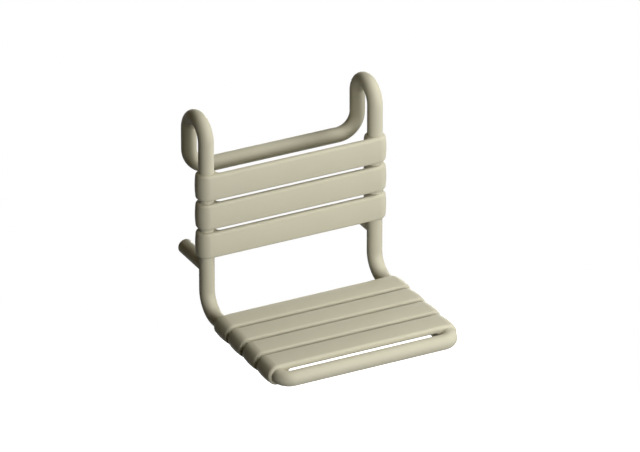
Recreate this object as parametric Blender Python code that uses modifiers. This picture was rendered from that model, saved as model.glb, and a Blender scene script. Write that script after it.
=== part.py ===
"""Hang-on shower seat: a bent tube frame with slatted seat and back, hung on a handrail by two hooks.

Metres, +Z up. The origin lies on the rail's axis, midway between the hooks. +X runs along the rail,
+Y points to the wall and -Y to the front of the seat.
"""

import math

import bmesh
import bpy
from mathutils import Matrix, Vector

# Rail and wall that the seat is made for
RAIL_DIAMETER = 0.033
RAIL_TO_WALL = 0.0632

# Frame tube: plastic sheath over a steel core
TUBE_DIAMETER = 0.033
SHEATH_WALL = 0.0035
CORE_WALL = 0.002
SIDE_SPACING = 0.393
HOOK_RADIUS = 0.040
HOOK_RISE = 0.067
TAIL_STRAIGHT = 0.0465
CROSSBAR_CORNER_RADIUS = 0.046
SEAT_BEND_RADIUS = 0.049
FRONT_CORNER_RADIUS = 0.023
FRONT_STRAIGHT = 0.0003
SPIGOT_LENGTH = 0.08

# Slats, from the wall forwards and from the seat upwards
SEAT_SLATS = ("rear", "second", "third", "front")
BACK_SLATS = ("lower", "middle", "upper")
SEAT_JOINT_SLAT = "third"
BACK_JOINT_SLAT = "upper"
SLAT_WIDTH = 0.059
SLAT_GAP = 0.0073
SLAT_THICKNESS = 0.0148
SLAT_SKIN = 0.0045
SLEEVE_WALL = 0.0064
SLEEVE_FILLET = 0.006
EDGE_RADIUS = 0.006
BEND_TO_SEAT_SLAT = 0.024
POCKET_COUNT = 7
POCKET_EDGE = 0.0095
POCKET_RIB = 0.004

# Wall supports
SUPPORT_TO_SLAT = 0.0084
BEND_TO_SUPPORT = 0.037
SUPPORT_WALL = 0.0045
SUPPORT_BOSS = 0.025
BUFFER_THICKNESS = 0.006
BUFFER_PLUG = 0.012
BUFFER_EDGE = 0.0025
BOLT_DIAMETER = 0.008
BOLT_HEAD_DIAMETER = 0.013
BOLT_HEAD_HEIGHT = 0.008
BOLT_REACH = 0.004

# Slat screws
SCREW_DIAMETER = 0.0048
SCREW_HEAD_DIAMETER = 0.0085
SCREW_HEAD_HEIGHT = 0.0026
SCREW_HEAD_SINK = 0.0008
SCREW_REACH = 0.003
JOINT_SCREW_OFFSET = 0.015

# Clearance between pieces that fit together, and how finely round shapes are faceted
FIT = 0.0003
OVERCUT = 0.002
WELD = 0.00001
BEND_FACET_ANGLE = math.radians(22.5)
SLEEVE_FACET_ANGLE = math.radians(27.5)
SMALL_FACET_ANGLE = math.radians(45)
FLAT_ANGLE = math.radians(5)
EDGE_SEGMENTS = 2
TUBE_SIDES = 16
CORE_SIDES = 8
SCREW_SIDES = 6
SMOOTH_ANGLE = math.radians(40)
BEVEL_ANGLE = math.radians(60)

# Finishes: linear colour, roughness, metallic
PLASTIC_FINISH = ((0.50, 0.475, 0.36, 1.0), 0.42, 0.0)
CORE_FINISH = ((0.55, 0.56, 0.57, 1.0), 0.45, 1.0)
SCREW_FINISH = ((0.62, 0.62, 0.61, 1.0), 0.30, 1.0)
BUFFER_FINISH = ((0.42, 0.40, 0.30, 1.0), 0.65, 0.0)


def inside_flats(radius, sides):
    """Largest round radius that fits inside a polygon with its corners at this radius."""
    return radius * math.cos(math.pi / sides)


def around_flats(radius, sides):
    """Corner radius of the polygon whose flats just clear this round radius."""
    return radius / math.cos(math.pi / sides)


# Radii that follow from the fits
RAIL_RADIUS = RAIL_DIAMETER / 2
TUBE_RADIUS = TUBE_DIAMETER / 2
CORE_RADIUS = inside_flats(TUBE_RADIUS, TUBE_SIDES) - SHEATH_WALL - FIT
CORE_BORE = inside_flats(CORE_RADIUS, CORE_SIDES) - CORE_WALL
SPIGOT_RADIUS = CORE_BORE - FIT
SLEEVE_BORE = TUBE_RADIUS + FIT
SLEEVE_RADIUS = SLEEVE_BORE + SLEEVE_WALL
SIDE_X = SIDE_SPACING / 2
SLAT_PITCH = SLAT_WIDTH + SLAT_GAP

# Heights, from the rail down, and depths, from the rail to the front
CROWN_Z = RAIL_RADIUS + TUBE_RADIUS
HOOK_Z = CROWN_Z - HOOK_RADIUS
BACK_TOP_Z = HOOK_Z - HOOK_RISE
UPPER_SLAT_Z = BACK_TOP_Z - SLAT_WIDTH / 2
LOWER_SLAT_Z = UPPER_SLAT_Z - (len(BACK_SLATS) - 1) * SLAT_PITCH
SUPPORT_Z = LOWER_SLAT_Z - SLAT_WIDTH / 2 - SUPPORT_TO_SLAT - TUBE_RADIUS
SEAT_Z = SUPPORT_Z - TUBE_RADIUS - BEND_TO_SUPPORT - SEAT_BEND_RADIUS
CROSSBAR_Z = HOOK_Z - TAIL_STRAIGHT - CROSSBAR_CORNER_RADIUS
UPRIGHT_Y = -HOOK_RADIUS
TAIL_Y = HOOK_RADIUS
REAR_SLAT_Y = UPRIGHT_Y - SEAT_BEND_RADIUS - BEND_TO_SEAT_SLAT - SLAT_WIDTH / 2
FRONT_SLAT_Y = REAR_SLAT_Y - (len(SEAT_SLATS) - 1) * SLAT_PITCH
FRONT_Y = FRONT_SLAT_Y - SLAT_WIDTH / 2 - FRONT_STRAIGHT - FRONT_CORNER_RADIUS
BACK_JOINT_Z = LOWER_SLAT_Z + BACK_SLATS.index(BACK_JOINT_SLAT) * SLAT_PITCH
SEAT_JOINT_Y = REAR_SLAT_Y - SEAT_SLATS.index(SEAT_JOINT_SLAT) * SLAT_PITCH
HANDS = {"left": -1, "right": 1}

# A clean scene, a collection for the parts and one for the cutters
for old in list(bpy.data.objects):
    bpy.data.objects.remove(old)
scene = bpy.context.scene
seat_collection = bpy.data.collections.new("hang_on_shower_seat")
cutter_collection = bpy.data.collections.new("cutters")
scene.collection.children.link(seat_collection)
scene.collection.children.link(cutter_collection)
seat_root = bpy.data.objects.new("shower_seat", None)
seat_collection.objects.link(seat_root)


def material(name, colour, roughness, metallic):
    made = bpy.data.materials.new(name)
    made.use_nodes = True
    shader = made.node_tree.nodes["Principled BSDF"]
    shader.inputs["Base Color"].default_value = colour
    shader.inputs["Roughness"].default_value = roughness
    shader.inputs["Metallic"].default_value = metallic
    return made


PLASTIC = material("stone_polyamide", *PLASTIC_FINISH)
CORE_STEEL = material("core_steel", *CORE_FINISH)
SCREW_STEEL = material("screw_steel", *SCREW_FINISH)
BUFFER_RUBBER = material("buffer_rubber", *BUFFER_FINISH)


def add_part(name, mesh, finish, matrix=Matrix.Identity(4)):
    """A named sub-part on the seat's empty."""
    mesh.materials.clear()
    mesh.materials.append(finish)
    mesh.shade_smooth()
    mesh.set_sharp_from_angle(angle=SMOOTH_ANGLE)
    part = bpy.data.objects.new(name, mesh)
    part.parent = seat_root
    part.matrix_world = matrix
    seat_collection.objects.link(part)
    return part


def add_cutter(name, mesh, matrix=Matrix.Identity(4)):
    """A shape that is only taken away from parts."""
    cutter = bpy.data.objects.new(name, mesh)
    cutter.matrix_world = matrix
    cutter.hide_render = True
    cutter.display_type = "WIRE"
    cutter_collection.objects.link(cutter)
    return cutter


def cut(part, cutter):
    modifier = part.modifiers.new(cutter.name, "BOOLEAN")
    modifier.operation = "DIFFERENCE"
    modifier.solver = "EXACT"
    modifier.object = cutter


def evaluated_mesh(source):
    """The object's mesh with its modifiers applied and its loose seams welded; the object goes."""
    depsgraph = bpy.context.evaluated_depsgraph_get()
    mesh = bpy.data.meshes.new_from_object(source.evaluated_get(depsgraph), depsgraph=depsgraph)
    bpy.data.objects.remove(source)
    shape = bmesh.new()
    shape.from_mesh(mesh)
    bmesh.ops.remove_doubles(shape, verts=shape.verts, dist=WELD)
    shape.to_mesh(mesh)
    shape.free()
    return mesh


def turned_mesh(name, profile, sides, closed=False):
    """A profile of (radius, height) points, outer side downwards, turned about Z."""
    points = [(radius, 0.0, height) for radius, height in profile]
    edges = [(i, i + 1) for i in range(len(points) - 1)]
    if closed:
        edges.append((len(points) - 1, 0))
    mesh = bpy.data.meshes.new(name)
    mesh.from_pydata(points, edges, [])
    blank = bpy.data.objects.new(name, mesh)
    cutter_collection.objects.link(blank)
    turn = blank.modifiers.new("turn", "SCREW")
    turn.axis = "Z"
    turn.angle = math.tau
    turn.steps = sides
    turn.render_steps = sides
    turn.use_merge_vertices = True
    turn.merge_threshold = WELD
    return evaluated_mesh(blank)


def bent_path(corners, radii):
    """Points along straight runs between corners, with a round bend of its own radius at each one."""
    path = [corners[0]]
    for before, corner, after, radius in zip(corners, corners[1:], corners[2:], radii):
        into = (corner - before).normalized()
        out = (after - corner).normalized()
        turn = into.angle(out)
        start = corner - into * radius * math.tan(turn / 2)
        side = (out - into * into.dot(out)).normalized()
        centre = start + side * radius
        steps = round(turn / BEND_FACET_ANGLE)
        for step in range(steps + 1):
            swing = Matrix.Rotation(turn * step / steps, 3, into.cross(out))
            point = centre + swing @ (start - centre)
            if (point - path[-1]).length > WELD:
                path.append(point)
    path.append(corners[-1])
    return path


def tube_mesh(name, path, radius, sides):
    """The open outer skin of a round tube along a path."""
    curve = bpy.data.curves.new(name, "CURVE")
    curve.dimensions = "3D"
    curve.bevel_depth = radius
    curve.bevel_resolution = sides // 2 - 2
    spline = curve.splines.new("POLY")
    spline.points.add(len(path) - 1)
    for point, place in zip(spline.points, path):
        point.co = (*place, 1.0)
    guide = bpy.data.objects.new(name, curve)
    cutter_collection.objects.link(guide)
    return evaluated_mesh(guide)


def rod_mesh(name, radius, bottom, top, sides):
    """A solid round rod along Z."""
    shape = bmesh.new()
    middle = Matrix.Translation((0.0, 0.0, (bottom + top) / 2))
    bmesh.ops.create_cone(shape, cap_ends=True, segments=sides, radius1=radius, radius2=radius,
                          depth=top - bottom, matrix=middle)
    mesh = bpy.data.meshes.new(name)
    shape.to_mesh(mesh)
    shape.free()
    return mesh


def arc(centre, radius, start, end, facet):
    """Points on a circle from one angle to another, about a facet angle apart."""
    steps = max(1, round(abs(end - start) / facet))
    angles = [start + (end - start) * step / steps for step in range(steps + 1)]
    return [(centre[0] + radius * math.cos(a), centre[1] + radius * math.sin(a)) for a in angles]


# The frame: two sides, a front bow and a hanger bow, each a hollow sheath round a hollow core
def mirrored(half):
    """The other half of a symmetric path, from the middle outwards."""
    return [Vector((-point.x, point.y, point.z)) for point in reversed(half)]


def side_path(x):
    corners = [Vector((x, SEAT_JOINT_Y + FIT / 2, SEAT_Z)),
               Vector((x, UPRIGHT_Y, SEAT_Z)),
               Vector((x, UPRIGHT_Y, BACK_JOINT_Z - FIT / 2))]
    return bent_path(corners, [SEAT_BEND_RADIUS])


def front_bow_path():
    half = [Vector((SIDE_X, SEAT_JOINT_Y - FIT / 2, SEAT_Z)), Vector((SIDE_X, FRONT_Y, SEAT_Z))]
    corners = half + mirrored(half)
    return bent_path(corners, [FRONT_CORNER_RADIUS, FRONT_CORNER_RADIUS])


def hanger_bow_path():
    half = [Vector((SIDE_X, UPRIGHT_Y, BACK_JOINT_Z + FIT / 2)),
            Vector((SIDE_X, UPRIGHT_Y, CROWN_Z)),
            Vector((SIDE_X, TAIL_Y, CROWN_Z)),
            Vector((SIDE_X, TAIL_Y, CROSSBAR_Z))]
    radii = [HOOK_RADIUS, HOOK_RADIUS, CROSSBAR_CORNER_RADIUS]
    return bent_path(half + mirrored(half), radii + radii[::-1])


def add_tube(name, path, radius, wall, sides, finish):
    tube = add_part(name, tube_mesh(name, path, radius, sides), finish)
    shell = tube.modifiers.new("wall", "SOLIDIFY")
    shell.thickness = wall
    shell.offset = -1.0
    shell.use_even_offset = True
    return tube


members = {"front_bow": front_bow_path(), "hanger_bow": hanger_bow_path()}
for side, sign in HANDS.items():
    members[side + "_side"] = side_path(sign * SIDE_X)
tubes = {}
cores = {}
for member, path in members.items():
    tubes[member] = add_tube(member + "_tube", path, TUBE_RADIUS, SHEATH_WALL, TUBE_SIDES, PLASTIC)
    cores[member] = add_tube(member + "_core", path, CORE_RADIUS, CORE_WALL, CORE_SIDES, CORE_STEEL)


# Spigots, which carry the cores across the joints hidden in the slats
upper_spigots = {}
seat_spigots = {}
spigot_mesh = rod_mesh("spigot", SPIGOT_RADIUS, -SPIGOT_LENGTH / 2, SPIGOT_LENGTH / 2, CORE_SIDES)
for side, sign in HANDS.items():
    upright = Matrix.Translation((sign * SIDE_X, UPRIGHT_Y, BACK_JOINT_Z))
    leg = Matrix.Translation((sign * SIDE_X, SEAT_JOINT_Y, SEAT_Z)) @ Matrix.Rotation(math.pi / 2, 4, "X")
    upper_spigots[side] = add_part(side + "_upper_spigot", spigot_mesh, CORE_STEEL, upright)
    seat_spigots[side] = add_part(side + "_seat_spigot", spigot_mesh, CORE_STEEL, leg)


# The slat: a ribbed plate between two sleeves. Its local X runs across, Y out of its face and Z
# along the tubes.
UNDERSIDE = SLEEVE_RADIUS - SLAT_THICKNESS
FILLET_Y = UNDERSIDE - SLEEVE_FILLET
FILLET_X = math.sqrt((SLEEVE_RADIUS + SLEEVE_FILLET) ** 2 - FILLET_Y ** 2)


def slat_outline():
    """Section across the tubes: two round sleeves, flush with the face, filleted to the underside."""
    lean = math.atan2(FILLET_Y, FILLET_X)
    sleeve = arc((SIDE_X, 0.0), SLEEVE_RADIUS, math.pi / 2, -math.pi - lean, SLEEVE_FACET_ANGLE)
    fillet = arc((SIDE_X - FILLET_X, FILLET_Y), SLEEVE_FILLET, -lean, math.pi / 2, SMALL_FACET_ANGLE)
    half = sleeve + fillet[1:]
    return half + [(-x, y) for x, y in reversed(half)]


def slat_blank():
    """The outline drawn out to the slat's width, with its caps as single faces."""
    outline = slat_outline()
    curve = bpy.data.curves.new("slat_outline", "CURVE")
    curve.dimensions = "2D"
    curve.fill_mode = "BOTH"
    curve.extrude = SLAT_WIDTH / 2
    spline = curve.splines.new("POLY")
    spline.points.add(len(outline) - 1)
    spline.use_cyclic_u = True
    for point, (x, y) in zip(spline.points, outline):
        point.co = (x, y, 0.0, 1.0)
    guide = bpy.data.objects.new("slat_outline", curve)
    cutter_collection.objects.link(guide)
    mesh = evaluated_mesh(guide)
    shape = bmesh.new()
    shape.from_mesh(mesh)
    bmesh.ops.dissolve_limit(shape, angle_limit=FLAT_ANGLE, verts=shape.verts, edges=shape.edges)
    shape.to_mesh(mesh)
    shape.free()
    return mesh


def slat_hollows():
    """The two bores for the tubes and the row of pockets between the underside's ribs."""
    shape = bmesh.new()
    bore = around_flats(SLEEVE_BORE, TUBE_SIDES)
    for sign in HANDS.values():
        axis = Matrix.Translation((sign * SIDE_X, 0.0, 0.0))
        bmesh.ops.create_cone(shape, cap_ends=True, segments=TUBE_SIDES, radius1=bore, radius2=bore,
                              depth=SLAT_WIDTH + OVERCUT, matrix=axis)
    half_row = SIDE_X - FILLET_X - POCKET_RIB
    length = (2 * half_row + POCKET_RIB) / POCKET_COUNT - POCKET_RIB
    top = SLEEVE_RADIUS - SLAT_SKIN
    bottom = UNDERSIDE - OVERCUT
    size = Matrix.Diagonal((length, top - bottom, SLAT_WIDTH - 2 * POCKET_EDGE, 1.0))
    for index in range(POCKET_COUNT):
        x = -half_row + length / 2 + index * (length + POCKET_RIB)
        place = Matrix.Translation((x, (top + bottom) / 2, 0.0))
        bmesh.ops.create_cube(shape, size=1.0, matrix=place @ size)
    mesh = bpy.data.meshes.new("slat_hollows")
    shape.to_mesh(mesh)
    shape.free()
    return mesh


def slat_mesh():
    blank = bpy.data.objects.new("slat", slat_blank())
    cutter_collection.objects.link(blank)
    edges = blank.modifiers.new("edges", "BEVEL")
    edges.width = EDGE_RADIUS
    edges.segments = EDGE_SEGMENTS
    edges.limit_method = "ANGLE"
    edges.angle_limit = BEVEL_ANGLE
    hollows = add_cutter("slat_hollows", slat_hollows())
    cut(blank, hollows)
    mesh = evaluated_mesh(blank)
    bpy.data.objects.remove(hollows)
    return mesh


# Screws: each goes from the slat's hidden side through sleeve, sheath and core
SCREW_RADIUS = SCREW_DIAMETER / 2
SCREW_HEAD_RADIUS = SCREW_HEAD_DIAMETER / 2
HEAD_TOP = SLEEVE_RADIUS - SCREW_HEAD_SINK
HEAD_SEAT = HEAD_TOP - SCREW_HEAD_HEIGHT
SCREW_TIP = CORE_BORE - SCREW_REACH


def screw_mesh():
    profile = [(0.0, HEAD_TOP), (SCREW_HEAD_RADIUS, HEAD_TOP), (SCREW_HEAD_RADIUS, HEAD_SEAT),
               (SCREW_RADIUS, HEAD_SEAT), (SCREW_RADIUS, SCREW_TIP), (0.0, SCREW_TIP)]
    return turned_mesh("slat_screw", profile, SCREW_SIDES)


def screw_hole_mesh():
    head = around_flats(SCREW_HEAD_RADIUS + FIT, SCREW_SIDES)
    shank = around_flats(SCREW_RADIUS + FIT, SCREW_SIDES)
    mouth = SLEEVE_RADIUS + OVERCUT
    seat = HEAD_SEAT - FIT
    floor = SCREW_TIP - FIT
    profile = [(0.0, mouth), (head, mouth), (head, seat), (shank, seat), (shank, floor), (0.0, floor)]
    return turned_mesh("slat_screw_hole", profile, SCREW_SIDES)


def member_at(side, place):
    """The frame member whose straight leg passes this place."""
    if place.z > BACK_JOINT_Z:
        return "hanger_bow"
    if place.y < SEAT_JOINT_Y:
        return "front_bow"
    return side + "_side"


# Each slat with its screws: one in each sleeve, or two where the sleeve covers a tube joint
SLAT_MESH = slat_mesh()
SCREW_MESH = screw_mesh()
SCREW_HOLE_MESH = screw_hole_mesh()
OUTWARDS = Matrix.Rotation(math.pi / 2, 4, "X")


def add_slat(name, matrix, spigots):
    slat = add_part(name + "_slat", SLAT_MESH, PLASTIC, matrix)
    offsets = {"_1": -JOINT_SCREW_OFFSET, "_2": JOINT_SCREW_OFFSET} if spigots else {"": 0.0}
    for side, sign in HANDS.items():
        for mark, offset in offsets.items():
            place = matrix @ Matrix.Translation((sign * SIDE_X, 0.0, offset)) @ OUTWARDS
            label = name + "_screw_" + side + mark
            add_part(label, SCREW_MESH, SCREW_STEEL, place)
            hole = add_cutter(label + "_hole", SCREW_HOLE_MESH, place)
            member = member_at(side, place.translation)
            drilled = [slat, tubes[member], cores[member]]
            if spigots:
                drilled.append(spigots[side])
            for part in drilled:
                cut(part, hole)


BACK_TURN = Matrix.Rotation(math.pi, 4, "X")
SEAT_TURN = Matrix.Rotation(math.pi / 2, 4, "X")
for index, place in enumerate(BACK_SLATS):
    centre = Matrix.Translation((0.0, UPRIGHT_Y, LOWER_SLAT_Z + index * SLAT_PITCH))
    add_slat(place + "_back", centre @ BACK_TURN, upper_spigots if place == BACK_JOINT_SLAT else None)
for index, place in enumerate(SEAT_SLATS):
    centre = Matrix.Translation((0.0, REAR_SLAT_Y - index * SLAT_PITCH, SEAT_Z))
    add_slat(place + "_seat", centre @ SEAT_TURN, seat_spigots if place == SEAT_JOINT_SLAT else None)


# Wall supports: a coped stand-off on each upright, its bolt and the buffer that touches the wall.
# Their local Z runs from the upright's axis to the wall.
SUPPORT_LENGTH = RAIL_TO_WALL + HOOK_RADIUS
SOCKET_RADIUS = TUBE_RADIUS - SUPPORT_WALL
BUFFER_SEAT = SUPPORT_LENGTH - BUFFER_THICKNESS
BOSS_END = TUBE_RADIUS + SUPPORT_BOSS
BOLT_RADIUS = BOLT_DIAMETER / 2
BOLT_HEAD_RADIUS = BOLT_HEAD_DIAMETER / 2
BOLT_TIP = CORE_BORE - BOLT_REACH


def support_mesh():
    bore = around_flats(BOLT_RADIUS + FIT, TUBE_SIDES)
    end = BUFFER_SEAT - FIT
    profile = [(TUBE_RADIUS, end), (TUBE_RADIUS, 0.0), (bore, 0.0), (bore, BOSS_END),
               (SOCKET_RADIUS, BOSS_END), (SOCKET_RADIUS, end)]
    return turned_mesh("wall_support", profile, TUBE_SIDES, closed=True)


def bolt_mesh():
    seat = BOSS_END + FIT
    top = seat + BOLT_HEAD_HEIGHT
    profile = [(0.0, top), (BOLT_HEAD_RADIUS, top), (BOLT_HEAD_RADIUS, seat), (BOLT_RADIUS, seat),
               (BOLT_RADIUS, BOLT_TIP), (0.0, BOLT_TIP)]
    return turned_mesh("support_bolt", profile, SCREW_SIDES)


def buffer_mesh():
    plug = inside_flats(SOCKET_RADIUS, TUBE_SIDES) - FIT
    plug_end = BUFFER_SEAT - BUFFER_PLUG
    edge_centre = (TUBE_RADIUS - BUFFER_EDGE, SUPPORT_LENGTH - BUFFER_EDGE)
    rounded = arc(edge_centre, BUFFER_EDGE, math.pi / 2, 0.0, SMALL_FACET_ANGLE)
    profile = [(0.0, SUPPORT_LENGTH), *rounded, (TUBE_RADIUS, BUFFER_SEAT), (plug, BUFFER_SEAT),
               (plug, plug_end), (0.0, plug_end)]
    return turned_mesh("wall_buffer", profile, TUBE_SIDES)


SUPPORT_MESH = support_mesh()
BOLT_MESH = bolt_mesh()
BUFFER_MESH = buffer_mesh()
COPE_MESH = rod_mesh("cope", around_flats(TUBE_RADIUS + FIT, TUBE_SIDES), -TUBE_DIAMETER, TUBE_DIAMETER,
                     TUBE_SIDES)
BOLT_HOLE_MESH = rod_mesh("bolt_hole", around_flats(BOLT_RADIUS + FIT, SCREW_SIDES), BOLT_TIP - FIT,
                          TUBE_RADIUS + OVERCUT, SCREW_SIDES)
TO_WALL = Matrix.Rotation(-math.pi / 2, 4, "X")
for side, sign in HANDS.items():
    on_upright = Matrix.Translation((sign * SIDE_X, UPRIGHT_Y, SUPPORT_Z))
    place = on_upright @ TO_WALL
    support = add_part(side + "_wall_support", SUPPORT_MESH, PLASTIC, place)
    cut(support, add_cutter(side + "_cope", COPE_MESH, on_upright))
    add_part(side + "_support_bolt", BOLT_MESH, SCREW_STEEL, place)
    add_part(side + "_wall_buffer", BUFFER_MESH, BUFFER_RUBBER, place)
    bolt_hole = add_cutter(side + "_bolt_hole", BOLT_HOLE_MESH, place)
    cut(tubes[side + "_side"], bolt_hole)
    cut(cores[side + "_side"], bolt_hole)
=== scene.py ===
"""The hang-on shower seat as a studio photograph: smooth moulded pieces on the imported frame, in metres."""

import math

import bmesh
import bpy
from mathutils import Matrix, Vector


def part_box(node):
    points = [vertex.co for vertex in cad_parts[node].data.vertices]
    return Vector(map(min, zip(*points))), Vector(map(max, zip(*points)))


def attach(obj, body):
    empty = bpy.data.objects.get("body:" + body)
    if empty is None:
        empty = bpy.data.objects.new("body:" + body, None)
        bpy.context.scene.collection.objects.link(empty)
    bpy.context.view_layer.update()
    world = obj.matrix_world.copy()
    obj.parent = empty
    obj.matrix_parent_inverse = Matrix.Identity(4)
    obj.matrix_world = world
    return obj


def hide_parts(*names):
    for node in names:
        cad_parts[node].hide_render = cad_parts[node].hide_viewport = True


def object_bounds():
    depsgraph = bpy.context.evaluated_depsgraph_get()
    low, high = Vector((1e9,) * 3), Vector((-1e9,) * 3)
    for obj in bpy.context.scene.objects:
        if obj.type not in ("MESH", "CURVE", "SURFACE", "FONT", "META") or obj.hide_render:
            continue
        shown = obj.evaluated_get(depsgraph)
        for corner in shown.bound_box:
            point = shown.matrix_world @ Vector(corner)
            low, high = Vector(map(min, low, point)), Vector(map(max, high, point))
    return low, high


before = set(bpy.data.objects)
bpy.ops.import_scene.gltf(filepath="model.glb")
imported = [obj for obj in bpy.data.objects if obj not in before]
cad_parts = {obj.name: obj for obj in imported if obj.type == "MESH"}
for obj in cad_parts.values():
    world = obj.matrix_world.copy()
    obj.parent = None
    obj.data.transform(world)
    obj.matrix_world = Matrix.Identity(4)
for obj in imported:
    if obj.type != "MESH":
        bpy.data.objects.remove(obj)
cad_low, cad_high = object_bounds()
scene = bpy.context.scene
scene.view_settings.view_transform = "Standard"


# Camera: a long lens, far off, to the left of the seat's front and above it. The aim point is the
# uprights' middle height, and it lies a little left of and above the picture's centre.
IMAGE_SIZE = (640, 452)
VIEW_AZIMUTH = math.radians(27.117)
VIEW_ELEVATION = math.radians(26.816)
VIEW_DISTANCE = 16.07
SIGHT_RANGE = 64.0
PIXELS_PER_METRE = 480.0
AIM_POINT = Vector((0.0, -0.040, -0.193))
AIM_PIXEL = (291.02, 204.48)
SENSOR_WIDTH = 36.0

look = Vector((math.sin(VIEW_AZIMUTH) * math.cos(VIEW_ELEVATION),
               math.cos(VIEW_AZIMUTH) * math.cos(VIEW_ELEVATION),
               -math.sin(VIEW_ELEVATION)))
view_right = Vector((math.cos(VIEW_AZIMUTH), -math.sin(VIEW_AZIMUTH), 0.0))
view_up = view_right.cross(look)
centre_point = (AIM_POINT + view_right * (IMAGE_SIZE[0] / 2 - AIM_PIXEL[0]) / PIXELS_PER_METRE
                - view_up * (IMAGE_SIZE[1] / 2 - AIM_PIXEL[1]) / PIXELS_PER_METRE)
lens = bpy.data.cameras.new("camera")
lens.sensor_width = SENSOR_WIDTH
lens.lens = SENSOR_WIDTH * VIEW_DISTANCE * PIXELS_PER_METRE / IMAGE_SIZE[0]
lens.clip_end = SIGHT_RANGE
camera = bpy.data.objects.new("camera", lens)
camera.location = centre_point - look * VIEW_DISTANCE
camera.rotation_euler = look.to_track_quat("-Z", "Y").to_euler()
scene.collection.objects.link(camera)
scene.camera = camera


# Studio: a pale floor well below the hanging seat, a white surround and soft boxes in front, to the right
# and behind, with a weak warm one on the left. The floor looks white but throws little light back up.
FLOOR_DROP = 0.70
FLOOR_SIZE = 2.2
FLOOR_COLOUR = (0.12, 0.10, 0.07, 1.0)
FLOOR_SEEN_COLOUR = (0.90, 0.90, 0.90, 1.0)
FLOOR_GLOW = (0.95, 0.95, 0.95, 1.0)
FLOOR_ROUGHNESS = 0.9
BLACK = (0.0, 0.0, 0.0, 1.0)
WHITE = (1.0, 1.0, 1.0, 1.0)
LIGHT_TARGET = Vector((0.0, -0.15, -0.20))
WHITE_LIGHT = (1.0, 1.0, 1.0)
WARM_LIGHT = (1.0, 0.80, 0.35)
# Each soft box: degrees right of the seat's front, degrees up, distance, size, watts and colour
SOFT_BOXES = {
    "front_box": (0.0, 10.0, 3.0, 1.2, 47.5, WHITE_LIGHT),
    "low_box": (30.0, -5.0, 3.0, 1.2, 14.3, WHITE_LIGHT),
    "near_box": (20.0, 30.0, 1.6, 0.8, 6.9, WHITE_LIGHT),
    "right_box": (80.0, 45.0, 2.2, 1.0, 34.5, WHITE_LIGHT),
    "left_fill_box": (-60.0, 58.0, 3.0, 1.2, 5.1, WARM_LIGHT),
    "rear_box": (150.0, -10.0, 3.0, 1.2, 50.0, WHITE_LIGHT),
}
# The Mix node's sockets for colours, by number, because its sockets for values and vectors share their names
MIX_FACTOR, MIX_FIRST, MIX_SECOND, MIX_RESULT = 0, 6, 7, 2


def feed(node, inputs):
    """Sets a node's sockets by name or number. A Socket is linked, and anything else is set as the value."""
    for name, value in inputs.items():
        if isinstance(value, Socket):
            node.id_data.links.new(value.output, node.inputs[name])
        else:
            node.inputs[name].default_value = value


class Socket:
    """An output of a shader node. Arithmetic on it adds Math nodes to the same tree."""

    def __init__(self, tree, output):
        self.tree = tree
        self.output = output

    def node(self, kind, settings, inputs, result=0):
        """Adds any other node: its settings first, then the values or links of its sockets."""
        made = self.tree.nodes.new(kind)
        for name, value in settings.items():
            setattr(made, name, value)
        feed(made, inputs)
        return Socket(self.tree, made.outputs[result])

    def maths(self, operation, first, second):
        """Adds a Math node on two values or sockets."""
        return self.node("ShaderNodeMath", {"operation": operation}, {0: first, 1: second})

    def __add__(self, other):
        return self.maths("ADD", self, other)

    def __radd__(self, other):
        return self.maths("ADD", other, self)

    def __sub__(self, other):
        return self.maths("SUBTRACT", self, other)

    def __rsub__(self, other):
        return self.maths("SUBTRACT", other, self)

    def __mul__(self, other):
        return self.maths("MULTIPLY", self, other)

    def __rmul__(self, other):
        return self.maths("MULTIPLY", other, self)

    def mixed(self, first, second):
        """A colour that goes from the first to the second as this value goes from 0 to 1."""
        return self.node("ShaderNodeMix", {"data_type": "RGBA"},
                         {MIX_FACTOR: self, MIX_FIRST: first, MIX_SECOND: second}, result=MIX_RESULT)


def seen_directly(tree):
    """1 for rays from the camera, or mirrored or refracted ones, and 0 for light that bounces about."""
    rays = tree.nodes.new("ShaderNodeLightPath").outputs
    direct = Socket(tree, rays["Is Camera Ray"])
    for kind in ("Is Glossy Ray", "Is Transmission Ray"):
        direct = direct.maths("MAXIMUM", direct, Socket(tree, rays[kind]))
    return direct


def new_material(name):
    """A material, with its shader and the place on the object that its patterns are drawn by."""
    made = bpy.data.materials.new(name)
    made.use_nodes = True
    tree = made.node_tree
    place = Socket(tree, tree.nodes.new("ShaderNodeTexCoord").outputs["Object"])
    return made, tree.nodes["Principled BSDF"], place


def mesh_from(name, shape):
    """An ordinary mesh from a bmesh, which is freed."""
    mesh = bpy.data.meshes.new(name)
    shape.to_mesh(mesh)
    shape.free()
    return mesh


floor_finish, floor_shader, _ = new_material("studio_floor")
floor_seen = seen_directly(floor_finish.node_tree)
feed(floor_shader, {"Base Color": floor_seen.mixed(FLOOR_COLOUR, FLOOR_SEEN_COLOUR),
                    "Emission Color": floor_seen.mixed(BLACK, FLOOR_GLOW), "Emission Strength": 1.0,
                    "Roughness": FLOOR_ROUGHNESS, "Specular IOR Level": 0.0})
floor_shape = bmesh.new()
bmesh.ops.create_grid(floor_shape, x_segments=1, y_segments=1, size=FLOOR_SIZE / 2)
floor = bpy.data.objects.new("floor", mesh_from("floor", floor_shape))
floor.data.materials.append(floor_finish)
floor.location.z = cad_low.z - FLOOR_DROP
scene.collection.objects.link(floor)

surround = bpy.data.worlds.new("surround")
surround.use_nodes = True
feed(surround.node_tree.nodes["Background"], {"Color": WHITE, "Strength": seen_directly(surround.node_tree)})
scene.world = surround

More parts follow.
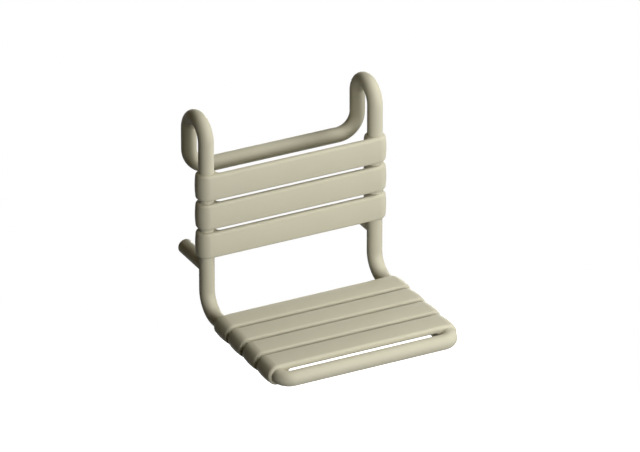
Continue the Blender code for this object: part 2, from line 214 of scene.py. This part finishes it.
for name, (azimuth, elevation, distance, size, watts, colour) in SOFT_BOXES.items():
    turn, rise = math.radians(azimuth), math.radians(elevation)
    away = Vector((math.sin(turn) * math.cos(rise), -math.cos(turn) * math.cos(rise), math.sin(rise)))
    lamp = bpy.data.lights.new(name, "AREA")
    lamp.shape = "SQUARE"
    lamp.size = size
    lamp.energy = watts
    lamp.color = colour
    stand = bpy.data.objects.new(name, lamp)
    stand.location = LIGHT_TARGET + away * distance
    stand.rotation_euler = (-away).to_track_quat("-Z", "Y").to_euler()
    scene.collection.objects.link(stand)


# Frame tubes: round steel tube in a moulded polyamide sheath, stone grey and satin. Two sides, a front
# bow and a hanger bow with its two hooks are bent cold and meet inside the slats, where no joint shows.
TUBE_RADIUS = 0.0165
SEAT_BEND_RADIUS = 0.049
CROSSBAR_CORNER_RADIUS = 0.046
FRONT_CORNER_RADIUS = 0.023
BEND_STEP = math.radians(3.0)
TUBE_ROUNDING = 22
WELD = 0.00001
CREASE_ANGLE = math.radians(35.0)
STONE_DARK = (0.520, 0.497, 0.382, 1.0)
STONE_LIGHT = (0.560, 0.535, 0.415, 1.0)
CLOUD_SCALE = 14.0
CLOUD_DETAIL = 4.0
CLOUD_SHARE = 0.8
CLOUD_ROUGHNESS = 0.10
GRAIN_SCALE = 900.0
GRAIN_DETAIL = 2.0
GRAIN_HEIGHT = 0.00004
GRAIN_STRENGTH = 0.35
GRAIN_ROUGHNESS = 0.08
NOISE_MEAN = 0.5
SATIN_ROUGHNESS = 0.46
SATIN_SPECULAR = 0.05


def middle(node):
    """The middle of a node's box."""
    low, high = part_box(node)
    return (low + high) / 2


def stone_polyamide():
    """Satin moulded plastic: slow clouds in the pigment and a fine even grain from the mould."""
    made, shader, place = new_material("stone_polyamide")
    clouds = place.node("ShaderNodeTexNoise", {},
                        {"Vector": place, "Scale": CLOUD_SCALE, "Detail": CLOUD_DETAIL})
    grain = place.node("ShaderNodeTexNoise", {},
                       {"Vector": place, "Scale": GRAIN_SCALE, "Detail": GRAIN_DETAIL})
    pigment = clouds * CLOUD_SHARE + grain * (1 - CLOUD_SHARE)
    cloudiness = (clouds - NOISE_MEAN) * CLOUD_ROUGHNESS
    graininess = (grain - NOISE_MEAN) * GRAIN_ROUGHNESS
    bump = place.node("ShaderNodeBump", {},
                      {"Height": grain, "Strength": GRAIN_STRENGTH, "Distance": GRAIN_HEIGHT})
    feed(shader, {"Base Color": pigment.mixed(STONE_DARK, STONE_LIGHT),
                  "Roughness": SATIN_ROUGHNESS + cloudiness + graininess, "Normal": bump,
                  "Specular IOR Level": SATIN_SPECULAR})
    return made


def bent_path(corners, radii):
    """Points along straight runs between corners, with a round bend of its own radius at each one."""
    path = [corners[0]]
    for before, corner, after, radius in zip(corners, corners[1:], corners[2:], radii):
        into = (corner - before).normalized()
        out = (after - corner).normalized()
        turn = into.angle(out)
        start = corner - into * radius * math.tan(turn / 2)
        centre = start + (out - into * into.dot(out)).normalized() * radius
        steps = round(turn / BEND_STEP)
        for step in range(steps + 1):
            point = centre + Matrix.Rotation(turn * step / steps, 3, into.cross(out)) @ (start - centre)
            if (point - path[-1]).length > WELD:
                path.append(point)
    path.append(corners[-1])
    return path


def smoothed(mesh):
    """Shades a mesh smooth, apart from its real corners."""
    mesh.shade_smooth()
    mesh.set_sharp_from_angle(angle=CREASE_ANGLE)
    return mesh


def evaluated_mesh(source):
    """The object's mesh with its modifiers applied and its seams welded; the object itself goes."""
    depsgraph = bpy.context.evaluated_depsgraph_get()
    mesh = bpy.data.meshes.new_from_object(source.evaluated_get(depsgraph), depsgraph=depsgraph)
    bpy.data.objects.remove(source)
    shape = bmesh.new()
    shape.from_mesh(mesh)
    bmesh.ops.remove_doubles(shape, verts=shape.verts, dist=WELD)
    shape.to_mesh(mesh)
    shape.free()
    return smoothed(mesh)


def tube_mesh(name, path):
    """A round bar along a path, as the sheath looks from outside, with flat ends."""
    curve = bpy.data.curves.new(name, "CURVE")
    curve.dimensions = "3D"
    curve.bevel_depth = TUBE_RADIUS
    curve.bevel_resolution = TUBE_ROUNDING
    curve.use_fill_caps = True
    spline = curve.splines.new("POLY")
    spline.points.add(len(path) - 1)
    for point, place in zip(spline.points, path):
        point.co = (*place, 1.0)
    guide = bpy.data.objects.new(name, curve)
    scene.collection.objects.link(guide)
    return evaluated_mesh(guide)


def add_piece(name, mesh, finish, node, matrix=Matrix.Identity(4)):
    """A piece that stands for a node of the frame and moves with it."""
    mesh.materials.clear()
    mesh.materials.append(finish)
    piece = bpy.data.objects.new(name, mesh)
    piece.matrix_world = matrix
    scene.collection.objects.link(piece)
    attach(piece, "root")
    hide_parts(node)
    return piece


def mirrored(half):
    """The other half of a symmetric path, from the middle outwards."""
    return [Vector((-point.x, point.y, point.z)) for point in reversed(half)]


side_x = middle("right_seat_spigot").x
seat_z = middle("right_seat_spigot").z
seat_joint_y = middle("right_seat_spigot").y
upright_y = middle("right_upper_spigot").y
back_joint_z = middle("right_upper_spigot").z
hook_radius = -upright_y
tail_y = hook_radius
crown_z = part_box("hanger_bow_tube")[1].z - TUBE_RADIUS
crossbar_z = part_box("hanger_bow_tube")[0].z + TUBE_RADIUS
front_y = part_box("front_bow_tube")[0].y + TUBE_RADIUS

front_half = [Vector((side_x, seat_joint_y, seat_z)), Vector((side_x, front_y, seat_z))]
hanger_half = [Vector((side_x, upright_y, back_joint_z)), Vector((side_x, upright_y, crown_z)),
               Vector((side_x, tail_y, crown_z)), Vector((side_x, tail_y, crossbar_z))]
hanger_radii = [hook_radius, hook_radius, CROSSBAR_CORNER_RADIUS]
tube_paths = {
    "front_bow_tube": bent_path(front_half + mirrored(front_half), [FRONT_CORNER_RADIUS] * 2),
    "hanger_bow_tube": bent_path(hanger_half + mirrored(hanger_half), hanger_radii + hanger_radii[::-1]),
}
for side, x in (("left", -side_x), ("right", side_x)):
    corners = [Vector((x, seat_joint_y, seat_z)), Vector((x, upright_y, seat_z)),
               Vector((x, upright_y, back_joint_z))]
    tube_paths[side + "_side_tube"] = bent_path(corners, [SEAT_BEND_RADIUS])

stone = stone_polyamide()
for node, path in tube_paths.items():
    add_piece(node + "_skin", tube_mesh(node + "_skin", path), stone, node)


# Tube cores and spigots: drawn steel tube inside the sheaths, and short bars that join one core to the
# next inside the upper back slat and the third seat slat. None of it shows on the finished seat.
CORE_DARK = (0.46, 0.47, 0.48, 1.0)
CORE_LIGHT = (0.60, 0.61, 0.62, 1.0)
DRAWN_SCALE = 240.0
DRAWN_DETAIL = 3.0
DRAWN_ROUGHNESS = 0.36
DRAWN_ROUGHNESS_SPREAD = 0.16


def drawn_steel():
    """Bare steel tube, dull and slightly blotched from drawing."""
    made, shader, place = new_material("drawn_steel")
    blotches = place.node("ShaderNodeTexNoise", {},
                          {"Vector": place, "Scale": DRAWN_SCALE, "Detail": DRAWN_DETAIL})
    feed(shader, {"Base Color": blotches.mixed(CORE_DARK, CORE_LIGHT), "Metallic": 1.0,
                  "Roughness": DRAWN_ROUGHNESS + blotches * DRAWN_ROUGHNESS_SPREAD})
    return made


core_steel = drawn_steel()
for name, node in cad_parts.items():
    if name.endswith(("_core", "_spigot")):
        node.data.materials.clear()
        node.data.materials.append(core_steel)


# Slats: moulded polyamide planks with a sleeve at each end, through which the tubes run. The face is flush
# with the sleeves, with a low crown all round and well rounded edges. Ribs stiffen the hidden side, whose
# edge towards the seat's front, or on the back the lower one, is the sharpest.
SLAT_THICKNESS = 0.0148
SLEEVE_FIT = 0.0002
SLEEVE_FILLET = 0.006
FACE_EDGE_RADIUS = 0.0060
HIDDEN_FRONT_RADIUS = 0.0028
HIDDEN_REAR_RADIUS = 0.0050
EDGE_STEPS = 12
CROWN = 0.0021
CROWN_PROUD = 0.00105
CROWN_STEPS = 14
SLEEVE_STEP = math.radians(4.0)
FILLET_STEP = math.radians(10.0)
FACE_STEPS = 16
POCKET_COUNT = 7
POCKET_EDGE = 0.0095
POCKET_RIB = 0.004
POCKET_ROUND = 0.0022
POCKET_ROUND_STEPS = 4
ROUND_PROFILE = 0.5
SLAT_SKIN = 0.0045
SCREW_WELL_RADIUS = 0.0047
SCREW_WELL_DEPTH = 0.0037
BORE_SIDES = 72
WELL_SIDES = 36
# A cutter is this many times as long as its cut, so that it stands out of the surface that it starts from
OVERRUN = 2

slat_low, slat_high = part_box("upper_back_slat")
slat_half = (slat_high.z - slat_low.z) / 2
sleeve_radius = upright_y - slat_low.y
underside = sleeve_radius - SLAT_THICKNESS
fillet_y = underside - SLEEVE_FILLET
fillet_x = math.sqrt((sleeve_radius + SLEEVE_FILLET) ** 2 - fillet_y ** 2)
fillet_lean = math.atan2(fillet_y, fillet_x)


def arc(centre, radius, start, end, facet):
    """Points on an arc from one angle to another, about one facet's angle apart."""
    steps = round(abs(end - start) / facet)
    angles = [start + (end - start) * step / steps for step in range(steps + 1)]
    return [(centre[0] + radius * math.cos(a), centre[1] + radius * math.sin(a)) for a in angles]


def slat_section(face_inset, hidden_inset):
    """The slat's section across the tubes, X across and Y out of the face. It is drawn in by one inset on the
    face and round the sleeve and by another on the hidden side, and the sleeve's last quarter goes from one
    to the other."""
    last_quarter = math.pi / 2 + fillet_lean
    sweep = math.pi + last_quarter
    steps = round(sweep / SLEEVE_STEP)
    half = [(side_x * step / FACE_STEPS, sleeve_radius - face_inset) for step in range(FACE_STEPS)]
    for step in range(steps + 1):
        turned = sweep * step / steps
        share = max(turned - math.pi, 0.0) / last_quarter
        radius = sleeve_radius - face_inset + (face_inset - hidden_inset) * share
        half.append((side_x + radius * math.sin(turned), radius * math.cos(turned)))
    fillet_centre = (side_x - fillet_x, fillet_y)
    half += arc(fillet_centre, SLEEVE_FILLET + hidden_inset, -fillet_lean, math.pi / 2, FILLET_STEP)[1:]
    return half + [(-x, y) for x, y in reversed(half[1:])]


def edge_inset(depth, radius):
    """How far a round edge stands back from the full section, at a depth behind the slat's end."""
    reach = max(radius - depth, 0.0)
    return radius - math.sqrt(radius ** 2 - reach ** 2)


def slat_levels():
    """Places along the tubes for the rings of the slat: close together in the edges, even in between."""
    edge = [FACE_EDGE_RADIUS * (1 - math.cos(math.pi / 2 * step / EDGE_STEPS)) for step in range(EDGE_STEPS)]
    flat = slat_half - FACE_EDGE_RADIUS
    between = [flat - 2 * flat * step / CROWN_STEPS for step in range(CROWN_STEPS + 1)]
    return [slat_half - depth for depth in edge] + between + [depth - slat_half for depth in reversed(edge)]


def slat_ring(place):
    """The section at one level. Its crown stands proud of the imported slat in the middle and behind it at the
    front (+Z) and rear edges, which are round."""
    crown = CROWN * (place / slat_half) ** 2 - CROWN_PROUD
    depth = slat_half - abs(place)
    hidden_radius = HIDDEN_FRONT_RADIUS if place > 0 else HIDDEN_REAR_RADIUS
    face_inset = crown + edge_inset(depth, FACE_EDGE_RADIUS)
    hidden_inset = crown + edge_inset(depth, hidden_radius)
    return slat_section(face_inset, hidden_inset)


def slat_blank():
    """The section drawn along the tubes, level by level, and closed by flat end faces."""
    shape = bmesh.new()
    rings = [[shape.verts.new((x, y, z)) for x, y in slat_ring(z)] for z in slat_levels()]
    for upper, lower in zip(rings, rings[1:]):
        for index in range(len(upper)):
            following = (index + 1) % len(upper)
            shape.faces.new((upper[index], upper[following], lower[following], lower[index]))
    shape.faces.new(reversed(rings[0]))
    shape.faces.new(rings[-1])
    bmesh.ops.recalc_face_normals(shape, faces=shape.faces)
    return mesh_from("slat_blank", shape)


def add_rod(shape, radius, length, sides, matrix):
    """A closed cylinder about its own Z axis, with its middle where the matrix puts it."""
    bmesh.ops.create_cone(shape, cap_ends=True, segments=sides, radius1=radius, radius2=radius, depth=length,
                          matrix=matrix)


def slat_hollows(screw_places):
    """Tube bores, the pockets between the ribs, and the wells for the screw heads."""
    shape = bmesh.new()
    to_hidden_side = Matrix.Rotation(math.pi / 2, 4, "X")
    bore_length = OVERRUN * 2 * slat_half
    for x in (-side_x, side_x):
        add_rod(shape, TUBE_RADIUS + SLEEVE_FIT, bore_length, BORE_SIDES, Matrix.Translation((x, 0.0, 0.0)))
        for place in screw_places:
            well = Matrix.Translation((x, -sleeve_radius, place)) @ to_hidden_side
            add_rod(shape, SCREW_WELL_RADIUS, OVERRUN * SCREW_WELL_DEPTH, WELL_SIDES, well)
    half_row = side_x - fillet_x - POCKET_RIB
    length = (2 * half_row + POCKET_RIB) / POCKET_COUNT - POCKET_RIB
    depth = OVERRUN * (SLAT_THICKNESS - SLAT_SKIN)
    size = Matrix.Diagonal((length, depth, 2 * (slat_half - POCKET_EDGE), 1.0))
    for index in range(POCKET_COUNT):
        x = -half_row + length / 2 + index * (length + POCKET_RIB)
        pocket = Matrix.Translation((x, underside, 0.0)) @ size
        corners = bmesh.ops.create_cube(shape, size=1.0, matrix=pocket)["verts"]
        edges = list({edge for corner in corners for edge in corner.link_edges})
        bmesh.ops.bevel(shape, geom=edges, offset=POCKET_ROUND, segments=POCKET_ROUND_STEPS,
                        profile=ROUND_PROFILE, affect="EDGES")
    return mesh_from("slat_hollows", shape)


def cut_mesh(name, body, tool):
    """One mesh less another."""
    blank = bpy.data.objects.new(name, body)
    cutter = bpy.data.objects.new(name + "_cutter", tool)
    for made in (blank, cutter):
        scene.collection.objects.link(made)
    cut = blank.modifiers.new("cut", "BOOLEAN")
    cut.solver = "EXACT"
    cut.object = cutter
    mesh = evaluated_mesh(blank)
    bpy.data.objects.remove(cutter)
    return mesh


def slat_mesh(name, screw_places):
    """A finished slat, lying with its face to +Y and its front edge to +Z."""
    return cut_mesh(name, slat_blank(), slat_hollows(screw_places))


def add_slat(node, mesh, matrix):
    """Puts a slat in its place. Weighted normals keep the cuts on its hidden side out of its shading."""
    slat = add_piece(node + "_plank", mesh, stone, node, matrix)
    normals = slat.modifiers.new("normals", "WEIGHTED_NORMAL")
    normals.keep_sharp = True


joint_screw_offset = middle("upper_back_screw_left_1").z - back_joint_z
plain_slat = slat_mesh("slat", [0.0])
joint_slat = slat_mesh("joint_slat", [-joint_screw_offset, joint_screw_offset])
back_turn = Matrix.Rotation(math.pi, 4, "X")
seat_turn = Matrix.Rotation(math.pi / 2, 4, "X")
for place in ("upper", "middle", "lower"):
    node = place + "_back_slat"
    centre = Matrix.Translation((0.0, upright_y, middle(node).z))
    add_slat(node, joint_slat if place == "upper" else plain_slat, centre @ back_turn)
for place in ("rear", "second", "third", "front"):
    node = place + "_seat_slat"
    centre = Matrix.Translation((0.0, middle(node).y, seat_z))
    add_slat(node, joint_slat if place == "third" else plain_slat, centre @ seat_turn)


# Slat screws: stainless pan heads with a hexagon socket, sunk in wells on the hidden side of each sleeve.
# They go through sleeve, sheath and core, and two of them hold each sleeve that covers a tube joint.
HEAD_RADIUS = 0.00425
HEAD_HEIGHT = 0.0026
HEAD_ROUND = 0.0009
SHANK_RADIUS = 0.0024
SOCKET_RADIUS = 0.00173
SOCKET_DEPTH = 0.0016
SOCKET_SIDES = 6
SCREW_SIDES = 48
STEEL_DARK = (0.40, 0.40, 0.39, 1.0)
STEEL_LIGHT = (0.54, 0.54, 0.53, 1.0)
TUMBLED_SCALE = 900.0
TUMBLED_DETAIL = 3.0
TUMBLED_ROUGHNESS = 0.38
TUMBLED_ROUGHNESS_SPREAD = 0.16


def turned_mesh(name, profile, sides):
    """A profile of (radius, height) points turned about Z into one closed body."""
    shape = bmesh.new()
    rings = []
    for radius, height in profile:
        if radius == 0.0:
            rings.append([shape.verts.new((0.0, 0.0, height))])
            continue
        angles = [math.tau * side / sides for side in range(sides)]
        rings.append([shape.verts.new((radius * math.cos(a), radius * math.sin(a), height)) for a in angles])
    for upper, lower in zip(rings, rings[1:]):
        for side in range(sides):
            following = (side + 1) % sides
            corners = [upper[side % len(upper)], upper[following % len(upper)],
                       lower[following % len(lower)], lower[side % len(lower)]]
            shape.faces.new(list(dict.fromkeys(corners)))
    bmesh.ops.recalc_face_normals(shape, faces=shape.faces)
    return mesh_from(name, shape)


def screw_mesh(length):
    """A screw with the top of its head at the origin and its shank down -Z."""
    rim = arc((HEAD_RADIUS - HEAD_ROUND, -HEAD_ROUND), HEAD_ROUND, math.pi / 2, 0.0, FILLET_STEP)
    profile = [(0.0, 0.0), *rim, (HEAD_RADIUS, -HEAD_HEIGHT), (SHANK_RADIUS, -HEAD_HEIGHT),
               (SHANK_RADIUS, -length + SHANK_RADIUS), (0.0, -length)]
    socket = bmesh.new()
    add_rod(socket, SOCKET_RADIUS, OVERRUN * SOCKET_DEPTH, SOCKET_SIDES, Matrix.Identity(4))
    return cut_mesh("screw", turned_mesh("screw", profile, SCREW_SIDES), mesh_from("hexagon_socket", socket))


def stainless():
    """Plain stainless steel with the dull sheen of tumbled screws."""
    made, shader, place = new_material("stainless")
    marks = place.node("ShaderNodeTexNoise", {},
                       {"Vector": place, "Scale": TUMBLED_SCALE, "Detail": TUMBLED_DETAIL})
    feed(shader, {"Base Color": marks.mixed(STEEL_DARK, STEEL_LIGHT), "Metallic": 1.0,
                  "Roughness": TUMBLED_ROUGHNESS + marks * TUMBLED_ROUGHNESS_SPREAD})
    return made


screw_steel = stainless()
to_wall = Matrix.Rotation(-math.pi / 2, 4, "X")
to_floor = Matrix.Rotation(math.pi, 4, "X")
screw_low, screw_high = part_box("lower_back_screw_left")
screw = screw_mesh(screw_high.y - screw_low.y)
for node in sorted(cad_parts):
    low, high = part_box(node)
    if "_back_screw_" in node:
        place = Matrix.Translation((middle(node).x, high.y, middle(node).z)) @ to_wall
        add_piece(node + "_head", screw, screw_steel, node, place)
    elif "_seat_screw_" in node:
        place = Matrix.Translation((middle(node).x, middle(node).y, low.z)) @ to_floor
        add_piece(node + "_head", screw, screw_steel, node, place)


# Wall supports: short lengths of the same tube, coped to the back of each upright below the lower slat and
# drawn up on it by a bolt from inside. The bolt, which the buffer hides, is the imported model's own solid.
SUPPORT_FIT = 0.0001
SUPPORT_SIDES = 96
SUPPORT_CHAMFER = 0.0006

support_end_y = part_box("left_wall_support")[1].y


def support_mesh(length):
    """A length of tube up Z from the upright's axis, cut out at its foot to sit on the upright."""
    end = length - SUPPORT_CHAMFER
    profile = [(0.0, length), (TUBE_RADIUS - SUPPORT_CHAMFER, length), (TUBE_RADIUS, end), (TUBE_RADIUS, 0.0),
               (0.0, 0.0)]
    cope = bmesh.new()
    along_upright = Matrix.Rotation(math.pi / 2, 4, "X")
    cope_length = OVERRUN * 2 * TUBE_RADIUS
    add_rod(cope, TUBE_RADIUS + SUPPORT_FIT, cope_length, SUPPORT_SIDES, along_upright)
    tube = turned_mesh("wall_support", profile, SUPPORT_SIDES)
    return cut_mesh("wall_support", tube, mesh_from("cope", cope))


support = support_mesh(support_end_y - upright_y)
for side in ("left", "right"):
    node = side + "_wall_support"
    place = Matrix.Translation((middle(node).x, upright_y, middle(node).z)) @ to_wall
    add_piece(node + "_tube", support, stone, node, place)
    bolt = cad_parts[side + "_support_bolt"]
    bolt.data.materials.clear()
    bolt.data.materials.append(screw_steel)


# Wall buffers: soft elastomer plugs pushed into the supports, in the same stone grey but matt. Their
# rounded faces rest on the wall.
BUFFER_ROUND = 0.0025
BUFFER_DARK = (0.46, 0.43, 0.33, 1.0)
BUFFER_LIGHT = (0.52, 0.49, 0.38, 1.0)
SKIN_SCALE = 700.0
SKIN_DETAIL = 4.0
SKIN_STRENGTH = 0.5
MATT_ROUGHNESS = 0.62
MATT_ROUGHNESS_SPREAD = 0.2
MATT_SPECULAR = 0.3


def elastomer():
    """Matt rubbery plastic with a fine uneven skin."""
    made, shader, place = new_material("buffer_elastomer")
    skin = place.node("ShaderNodeTexNoise", {}, {"Vector": place, "Scale": SKIN_SCALE, "Detail": SKIN_DETAIL})
    bump = place.node("ShaderNodeBump", {},
                      {"Height": skin, "Strength": SKIN_STRENGTH, "Distance": GRAIN_HEIGHT})
    feed(shader, {"Base Color": skin.mixed(BUFFER_DARK, BUFFER_LIGHT), "Normal": bump,
                  "Roughness": MATT_ROUGHNESS + skin * MATT_ROUGHNESS_SPREAD,
                  "Specular IOR Level": MATT_SPECULAR})
    return made


def buffer_mesh(height):
    """The part of the plug that stands out of the support: a disc up Z with a rounded rim."""
    rim_centre = (TUBE_RADIUS - BUFFER_ROUND, height - BUFFER_ROUND)
    rim = arc(rim_centre, BUFFER_ROUND, math.pi / 2, 0.0, FILLET_STEP)
    profile = [(0.0, height), *rim, (TUBE_RADIUS, 0.0), (0.0, 0.0)]
    return smoothed(turned_mesh("wall_buffer", profile, SUPPORT_SIDES))


buffer_rubber = elastomer()
plug = buffer_mesh(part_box("left_wall_buffer")[1].y - support_end_y)
for side in ("left", "right"):
    node = side + "_wall_buffer"
    place = Matrix.Translation((middle(node).x, support_end_y, middle(node).z)) @ to_wall
    add_piece(node + "_plug", plug, buffer_rubber, node, place)
